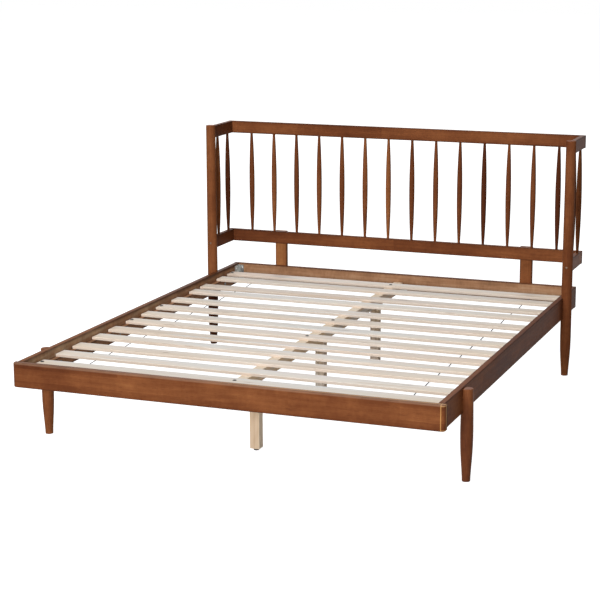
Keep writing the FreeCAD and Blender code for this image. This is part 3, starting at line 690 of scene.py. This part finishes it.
def makeTapes():
    # each tape is a ribbon: height falls between the slats by a share of the sag, the square of a sine,
    # whose zeros lie near the slats' edges
    material = wovenTape()
    middles = np.array(sorted(middleOf(name, 1) for name in slats))
    half = (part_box("slat_01")[1].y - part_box("slat_01")[0].y) / 2
    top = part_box("slat_01")[0].z - tape["gap"]
    run = np.linspace(middles[0] - half / 2, middles[-1] + half / 2, tape["steps"])
    share = np.zeros_like(run)
    for first, second in zip(middles[:-1] + half, middles[1:] - half):
        part = np.clip((run - first) / (second - first), 0, 1)
        share += np.sin(part * math.pi) ** 2 * (second - first) / tape["span"]
    across = np.linspace(-tape["width"] / 2, tape["width"] / 2, tape["across"])
    quads = gridFaces(len(run), len(across))[1]
    for side, middle in tapeMiddles().items():
        drift = tape["sway"] * np.sin(run * tape["swayRate"] + tape["swayStart"][side])
        points = np.zeros((len(run), len(across), 3))
        points[..., 0] = middle + drift[:, None] + across
        points[..., 1] = run[:, None]
        points[..., 2] = (top - tape["sag"] * share)[:, None]
        points = points.reshape(-1, 3)
        piece = addPiece(side + "_slat_tape", points, quads.tolist(), material)
        layer = piece.data.uv_layers.new(name="weave")
        loops = np.zeros(len(piece.data.loops), int)
        piece.data.loops.foreach_get("vertex_index", loops)
        flat = points[loops, :2] - (middle, 0)
        layer.data.foreach_set("uv", flat.astype(np.float32).ravel())
        thick = piece.modifiers.new("thickness", "SOLIDIFY")
        thick.thickness = tape["thick"]
        thick.offset = 1.0
        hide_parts("slat_tapes")


staple = {"reach": 0.0042, "wire": 0.0005, "leg": 0.006, "bend": 0.0008, "sides": 6, "bendRows": 4}


def makeStaples():
    # one staple on every slat and tape: its wire runs down a leg, round a quarter circle, along the crown
    # and up again, and the section is a circle in the plane square to the run
    turn = np.linspace(0, math.pi / 2, staple["bendRows"])
    reach, bend = staple["reach"], staple["bend"]
    corner = np.stack([reach - bend + bend * np.sin(turn), bend - bend * np.cos(turn)], -1)
    half = np.concatenate([[[0.0, 0.0]], corner, [[reach, staple["leg"]]]])
    path = np.concatenate([half[::-1] * (-1, 1), half[1:]])
    ahead = np.gradient(path, axis=0)
    ahead /= np.linalg.norm(ahead, axis=1)[:, None]
    angle = np.linspace(0, 2 * math.pi, staple["sides"], endpoint=False)
    section = staple["wire"] * np.stack([np.cos(angle), np.sin(angle)], -1)
    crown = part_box("slat_tapes")[0].z - tape["gap"]
    index, quads = gridFaces(len(path), len(angle), True)
    caps = [index[0, -2::-1].tolist(), index[-1, :-1].tolist()]
    spots, faces = [], []
    for name in slats:
        for middle in tapeMiddles().values():
            start = len(spots) * len(path) * len(angle)
            points = np.zeros((len(path), len(angle), 3))
            points[..., 0] = middle + path[:, None, 0] - ahead[:, None, 1] * section[None, :, 0]
            points[..., 1] = slatLines[name][0] + slatLines[name][1] * middle + section[None, :, 1]
            points[..., 2] = crown + path[:, None, 1] + ahead[:, None, 0] * section[None, :, 0]
            spots.append(points.reshape(-1, 3))
            faces += (quads + start).tolist() + [[spot + start for spot in cap] for cap in caps]
    piece = addPiece("tape_staples", np.concatenate(spots), faces, zinc)


makeTapes()
makeStaples()
print("slat tapes and staples made")


shot = {  # the photograph's camera, in metres and degrees, with its focal length and centre in pixels
    "place": (2.417948, -6.428727, 1.940313), "turn": 20.754, "tilt": 12.387, "roll": -0.086,
    "focal": 1724.545, "centre": (318.0, 300.0), "pixels": 600, "sensor": 36.0, "clip": (0.05, 200.0),
}


def makeCamera():  # turned about the upright, then tilted down, then rolled about its line of sight
    data = bpy.data.cameras.new("photoCamera")
    data.sensor_width = shot["sensor"]
    data.lens = shot["focal"] * shot["sensor"] / shot["pixels"]
    data.shift_x = (shot["pixels"] / 2 - shot["centre"][0]) / shot["pixels"]
    data.shift_y = (shot["centre"][1] - shot["pixels"] / 2) / shot["pixels"]
    data.clip_start, data.clip_end = shot["clip"]
    camera = bpy.data.objects.new("photoCamera", data)
    turn = Matrix.Rotation(math.radians(shot["turn"]), 4, "Z")
    tilt = Matrix.Rotation(math.radians(90 - shot["tilt"]), 4, "X")
    roll = Matrix.Rotation(math.radians(shot["roll"]), 4, "Z")
    camera.matrix_world = Matrix.Translation(shot["place"]) @ turn @ tilt @ roll
    bpy.context.scene.collection.objects.link(camera)
    bpy.context.scene.camera = camera


studio = {
    "world": 0.06, "floorSize": 60.0, "floorDrop": 0.0004, "floorColour": 0.50, "floorGlow": 0.97,
    "white": (1, 1, 1, 1),
    "lamps": [  # name, place, aim, size, watts
        ("frontPanel", (0.7, -10.4, 2.6), (0.0, 0.0, 0.3), 3.2, 850.0),
        ("topPanel", (-1.0, -2.5, 9.0), (0.0, 0.0, 0.3), 5.0, 428.0),
        ("rightPanel", (8.0, -4.5, 1.4), (0.0, 0.0, 0.3), 3.0, 13.0),
        ("rearPanel", (-3.3, 8.8, 5.2), (0.0, 0.0, 0.4), 4.0, 240.0),
    ],
}


def whiteRays(finish):  # 1 for the rays that meet a white backdrop: the camera's, and those of gloss and glass
    rays = [finish.node("ShaderNodeLightPath", {}, {}, kind)
            for kind in ("Is Camera Ray", "Is Glossy Ray", "Is Transmission Ray")]
    return rays[0].high(rays[1]).high(rays[2])


def makeStudio():  # a white backdrop, a pale floor and four soft lamps
    world = bpy.data.worlds.new("studioWorld")
    bpy.context.scene.world = world
    made = Finish("studioWorld", world)
    strength = made.node("ShaderNodeMapRange", {}, {"Value": whiteRays(made), "To Min": studio["world"],
                                                    "To Max": 1.0})
    light = made.node("ShaderNodeBackground", {}, {"Color": studio["white"], "Strength": strength})
    made.node("ShaderNodeOutputWorld", {}, {"Surface": light})

    made = Finish("studio_floor")
    base = made.node("ShaderNodeBsdfDiffuse", {}, {"Color": (studio["floorColour"],) * 3 + (1,)})
    glow = made.node("ShaderNodeEmission", {}, {"Color": studio["white"],
                                                "Strength": whiteRays(made) * studio["floorGlow"]})
    both = made.node("ShaderNodeAddShader", {}, {0: base, 1: glow})
    material = made.node("ShaderNodeOutputMaterial", {}, {"Surface": both})
    half = studio["floorSize"] / 2
    mesh = bpy.data.meshes.new("studioFloor")
    corners = [(-half, -half), (half, -half), (half, half), (-half, half)]
    mesh.from_pydata([(x, y, -studio["floorDrop"]) for x, y in corners], [], [(0, 1, 2, 3)])
    mesh.materials.append(material)
    floor = bpy.data.objects.new("studioFloor", mesh)
    bpy.context.scene.collection.objects.link(floor)

    for name, place, aim, size, watts in studio["lamps"]:
        data = bpy.data.lights.new(name, "AREA")
        data.shape = "SQUARE"
        data.size = size
        data.energy = watts
        lamp = bpy.data.objects.new(name, data)
        lamp.location = place
        lamp.rotation_mode = "QUATERNION"
        lamp.rotation_quaternion = (Vector(aim) - Vector(place)).to_track_quat("-Z", "Y")
        bpy.context.scene.collection.objects.link(lamp)


makeCamera()
makeStudio()
bpy.context.scene.view_settings.view_transform = "Standard"
print("camera, floor and lamps placed")
